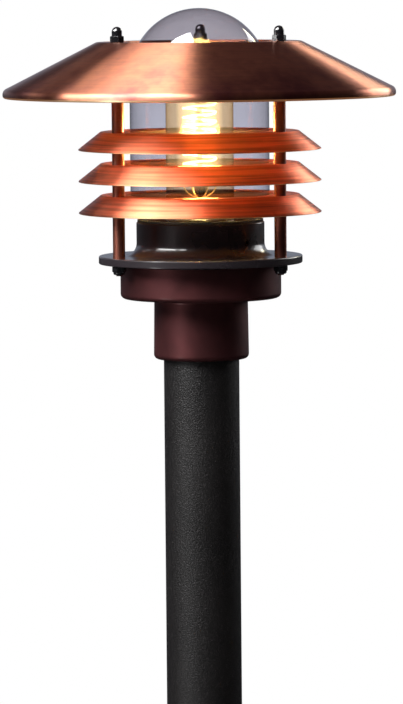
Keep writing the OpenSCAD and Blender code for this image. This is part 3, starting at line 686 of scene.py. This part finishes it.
def make_flange_nuts():
    """Lock nuts: chamfered hexagon, then a rounded collar round the locking ring."""
    low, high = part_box("flange_nuts")
    flats, round_r = 7.0 * MM, 1.1 * MM
    collar_r = flats / 2 - 0.2 * MM
    hex_low = high.z - 3.2 * MM
    corner = flats / 2 / math.cos(math.pi / 6)
    bm = bmesh.new()
    for rod in RODS:
        wall = flats / 2
        outline = [(2.05 * MM, low.z)] + arc(collar_r - round_r, low.z + round_r, round_r, -90, 0, 6)
        outline += [(collar_r, hex_low - 0.02 * MM)] + rows(wall, hex_low, hex_low + 0.4 * MM, 4)
        outline += rows(wall, high.z - 0.4 * MM, high.z, 4) + [(2.05 * MM, high.z)]
        limit = lambda z: corner - 0.55 * MM + min(z - hex_low, high.z - z, 0.36 * MM) * 1.55
        revolve(bm, outline, 96, rod_place(rod), hexagon(flats, math.radians(15), limit))
    nuts = new_object("flange_nuts_turned", bm, 28)
    put(nuts, "head", BLACK_STEEL, "black_steel", "flange_nuts")


def make_weld():
    """Rippled weld bead round the foot of the pole."""
    leg, ripples = 3.4 * MM, 74

    def ripple(r, z, a):
        rise = max(0.0, r - POLE_R)
        return r + 0.10 * rise * math.sin(ripples * a + 900 * z)

    outline = [(POLE_R - 0.2 * MM, POLE_FOOT_Z)]
    for a in (math.radians(degrees) for degrees in range(0, 91, 10)):
        outline.append((POLE_R + leg * math.cos(a) ** 1.4, POLE_FOOT_Z + leg * math.sin(a) ** 1.4))
    outline += [(POLE_R - 0.2 * MM, POLE_FOOT_Z + leg)]
    bead = lathe("pole_weld_bead", outline, 592, shape=ripple, sharp=70)
    put(bead, "pole", POWDER_COAT, "pole_powder_coat")


make_shade()
for louvre in ("louvre_top", "louvre_middle", "louvre_bottom"):
    make_louvre(louvre)
make_glass()
make_bulb()
make_rods()
make_cap_nut("cap_nut_left", 47)
make_cap_nut("cap_nut_right", 15)
make_cap_nut("cap_nut_rear", 42)
make_flange_nuts()
make_weld()

dress(POWDER_COAT, "base_plate", "pole")
dress(HOUSING_LACQUER, "lower_housing")
dress(FLANGE_LACQUER, "upper_housing")
dress(ROD_COPPER, "spacers_flange", "spacers_lower", "spacers_upper", "spacers_shade")
dress(BLACK_STEEL, "clamp_screw_left", "clamp_screw_right", "glass_lock_screw")
dress(ZINC_STEEL, "housing_screws", "lampholder_bracket")
dress(BARE_BRASS, "earth_screw", "terminal_screws", "lampholder_shell", "lampholder_contact")
dress(CAP_METAL, "bulb_contact")
dress(BLACK_RUBBER, "cable_grommet", "housing_gasket", "glass_gasket")
dress(DARK_CERAMIC, "lampholder")
dress(TERMINAL_PLASTIC, "terminal_block")
dress(BROWN_INSULATION, "lead_live")
dress(BLUE_INSULATION, "lead_neutral")
dress(BLACK_VITRITE, "bulb_insulator")
dress(STEM_GLASS, "bulb_stem")


# ---------------------------------------------------------------- studio

def make_floor():
    """Wide pale floor, shaded round the foot and plain white further out. Metal doesn't mirror it, so the
    soft boxes alone draw the highlights."""
    bm = bmesh.new()
    half = 30.0
    level = -0.2 * MM
    corners = [(-half, -half, level), (half, -half, level), (half, half, level), (-half, half, level)]
    bm.faces.new([bm.verts.new(c) for c in corners])
    floor = new_object("floor", bm)
    s = Shader("floor_paper")
    point, radius = s.place()[:2]
    tone = s.mix(s.noise(point, 3.0, 3.0), colour(0.80, 0.80, 0.80), colour(0.84, 0.84, 0.84))
    paper = s.add("BsdfDiffuse", {"Color": tone})
    lift = s.add("Emission", {"Color": colour(1, 1, 1), "Strength": 1.0})
    seen = s.add("LightPath").outputs["Is Camera Ray"]
    white = s.math("MULTIPLY", seen, s.remap(radius, 0.10, 0.60, 0.45, 1.0))
    floor.data.materials.append(s.surface(s.add("MixShader", {0: white, 1: paper.outputs[0],
                                                              2: lift.outputs[0]}).outputs[0]))
    floor.visible_glossy = False


def make_world():
    """White for the camera. For everything else a dim room, dark below and a little paler overhead, with a
    pale backdrop low behind."""
    world = bpy.data.worlds.new("studio")
    bpy.context.scene.world = world
    world.use_nodes = True
    tree = world.node_tree
    tree.nodes.clear()
    link = tree.links.new

    def add(kind, *values):
        node = tree.nodes.new("ShaderNode" + kind)
        for i, value in enumerate(values):
            if isinstance(value, bpy.types.NodeSocket):
                link(value, node.inputs[i])
            else:
                node.inputs[i].default_value = value
        return node

    way = add("SeparateXYZ", add("TexCoord").outputs["Generated"]).outputs
    ramp = add("ValToRGB", add("MapRange", way[2], -1.0, 1.0).outputs[0])
    stops = ramp.color_ramp.elements
    stops[0].position, stops[0].color = 0.30, colour(0.018, 0.017, 0.018)
    stops[1].position, stops[1].color = 0.80, colour(0.074, 0.056, 0.066)
    stops.new(0.52).color = colour(0.026, 0.026, 0.030)
    behind = add("MapRange", way[1], 0.55, 0.80).outputs[0]
    low = add("MapRange", way[2], 0.28, 0.12).outputs[0]
    above = add("MapRange", way[2], -0.02, 0.05).outputs[0]
    strip, patch = add("Math", low, above), add("Math", behind)
    strip.operation = patch.operation = "MULTIPLY"
    link(strip.outputs[0], patch.inputs[1])
    backdrop = add("Background", colour(0.27, 0.30, 0.37), 1.0).outputs[0]
    side = add("MapRange", way[0], -0.8, 0.8, 1.9, 0.6).outputs[0]
    room = add("MixShader", patch.outputs[0], add("Background", ramp.outputs[0], side).outputs[0], backdrop)
    white = add("Background", colour(1, 1, 1), 1.0).outputs[0]
    seen = add("LightPath").outputs["Is Camera Ray"]
    link(add("MixShader", seen, room.outputs[0], white).outputs[0], add("OutputWorld").inputs[0])


HEAD = Vector((0, 0, 0.5 * (SHADE_Z + FLANGE_LOW_Z)))


def soft_box(name, turn, rise, distance, width, height, power, tone=(1, 1, 1)):
    """Rectangular soft box aimed at the head. turn is degrees round from the camera, to its right; rise is
    degrees above the head."""
    t, e = math.radians(turn), math.radians(rise)
    way = Vector((math.sin(t) * math.cos(e), -math.cos(t) * math.cos(e), math.sin(e)))
    data = bpy.data.lights.new(name, "AREA")
    data.shape, data.size, data.size_y = "RECTANGLE", width, height
    data.energy, data.color = power, tone
    lamp = bpy.data.objects.new(name, data)
    lamp.location = HEAD + way * distance
    lamp.rotation_mode = "QUATERNION"
    lamp.rotation_quaternion = way.to_track_quat("Z", "Y")
    bpy.context.collection.objects.link(lamp)


def soft_panel(name, corner, across, along, width, length, power):
    """Large soft box hung over the dome. corner is where its nearest corner hangs from the dome's centre;
    across and along are the directions of its two edges from there."""
    x = Vector(across).normalized()
    z = x.cross(Vector(along)).normalized()
    y = z.cross(x)
    data = bpy.data.lights.new(name, "AREA")
    data.shape, data.size, data.size_y = "RECTANGLE", width, length
    data.energy = power
    lamp = bpy.data.objects.new(name, data)
    middle = Vector((0, 0, GLASS_DOME_Z)) + Vector(corner) + x * width / 2 + y * length / 2
    turned = Matrix((x, y, z)).transposed().to_4x4()
    lamp.matrix_world = Matrix.Translation(middle) @ turned
    bpy.context.collection.objects.link(lamp)


def make_lights():
    soft_panel("key_overhead", (-0.215, -0.159, 1.183), (-0.912, -0.088, -0.40), (-0.12, -0.95, -0.30),
               0.95, 1.15, 50)
    soft_box("left", -66, 27, 1.2, 0.80, 0.36, 18)
    soft_box("left_behind", -117, 23, 1.2, 0.50, 0.22, 0.4)
    soft_box("low_left", -52, -23, 1.2, 0.22, 0.38, 1.8)
    soft_box("strip_behind", 147, 21, 1.1, 0.15, 0.36, 1.15, (1.0, 0.95, 0.70))
    soft_box("right_behind", 130, 16, 1.1, 0.55, 0.60, 3.5)
    bulb = bpy.data.lights.new("bulb_light", "POINT")
    bulb.energy, bulb.color, bulb.shadow_soft_size = 1.4, (1.0, 0.78, 0.26), 0.012
    lamp = bpy.data.objects.new("bulb_light", bulb)
    lamp.location = (0, 0, (BULB_LOW_Z + BULB_HIGH_Z) / 2)
    bpy.context.collection.objects.link(lamp)
    lamp.parent = frame["bodies"]["bulb"]


def make_camera():
    """Long lens, a little above the shade's flat top, tipped down, with the slight roll of a held camera."""
    focal_px, long_side, sensor = 4700.0, 704, 36.0
    distance, above_top = 2.632, 0.0454
    turn, pitch, roll = 1.0, 4.77, -0.5
    data = bpy.data.cameras.new("camera")
    data.sensor_width = sensor
    data.lens = focal_px / long_side * sensor
    data.clip_start, data.clip_end = 0.05, 100
    camera = bpy.data.objects.new("camera", data)
    tip = Matrix.Rotation(math.radians(90 - pitch), 4, "X")
    lean = Matrix.Rotation(math.radians(roll), 4, "Z")
    round_pole = Matrix.Rotation(math.radians(turn), 4, "Z")
    camera.matrix_world = round_pole @ Matrix.Translation((0, -distance, SHADE_Z + above_top)) @ tip @ lean
    bpy.context.collection.objects.link(camera)
    bpy.context.scene.camera = camera


make_floor()
make_world()
make_lights()
make_camera()
bpy.context.scene.view_settings.view_transform = "Standard"
